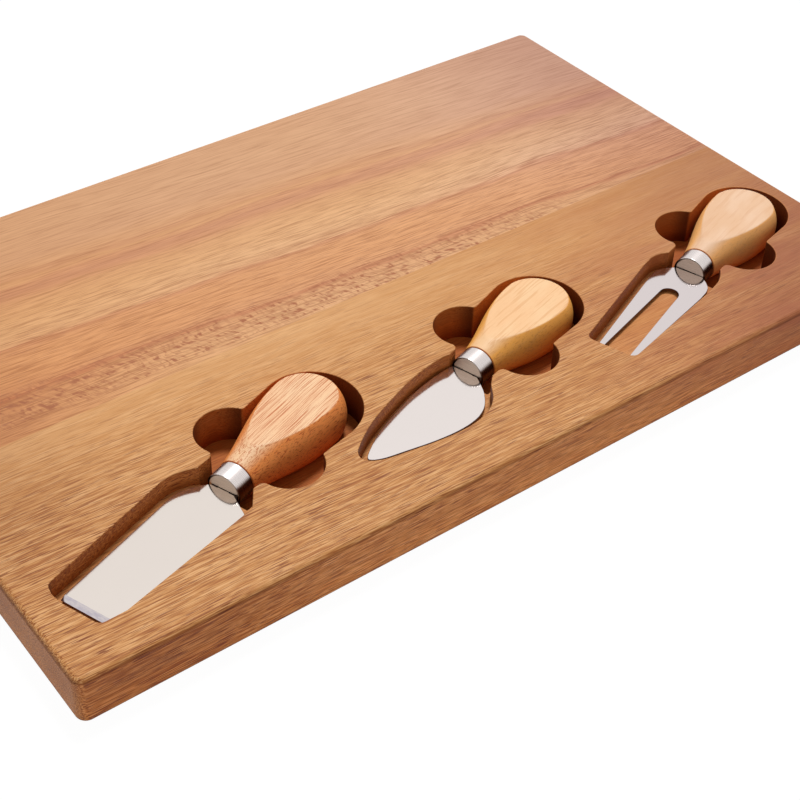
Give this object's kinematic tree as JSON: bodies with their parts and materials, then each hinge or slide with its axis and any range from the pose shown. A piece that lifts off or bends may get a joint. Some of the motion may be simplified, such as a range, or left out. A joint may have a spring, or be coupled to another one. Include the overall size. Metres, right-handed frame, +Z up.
{
  "type": "cutting board set",
  "caption": "Rectangular wooden serving board with routed pockets that hold a chisel knife, a spade knife and a two-tine fork.",
  "frame": {"origin": "middle of the board's underside", "axes": "+X along the board's long side towards the handles' ends, +Y from the front edge beside the tools to the rear edge, +Z up"},
  "size_m": [0.38, 0.24, 0.0228],
  "materials": {
    "front_stave_wood": "oiled, satin",
    "rear_stave_wood": "oiled, satin",
    "blade_steel": "fine satin",
    "ferrule_steel": "polished",
    "chisel_handle_wood": "lacquered, satin",
    "spade_handle_wood": "lacquered, satin",
    "fork_handle_wood": "lacquered, satin"
  },
  "bodies": {
    "board": {"front_stave": "front_stave_wood", "rear_stave": "rear_stave_wood"},
    "chisel_knife": {"chisel_blade": "blade_steel", "chisel_ferrule": "ferrule_steel", "chisel_handle": "chisel_handle_wood"},
    "spade_knife": {"spade_blade": "blade_steel", "spade_ferrule": "ferrule_steel", "spade_handle": "spade_handle_wood"},
    "cheese_fork": {"fork_blade": "blade_steel", "fork_ferrule": "ferrule_steel", "fork_handle": "fork_handle_wood"}
  },
  "joints": [
    {"name": "chisel_knife_lift", "type": "slide", "parent": "board", "child": "chisel_knife", "axis": [0, 0, 1], "range_m": [0, 0.06]},
    {"name": "spade_knife_lift", "type": "slide", "parent": "board", "child": "spade_knife", "axis": [0, 0, 1], "range_m": [0, 0.06]},
    {"name": "cheese_fork_lift", "type": "slide", "parent": "board", "child": "cheese_fork", "axis": [0, 0, 1], "range_m": [0, 0.06]}
  ]
}
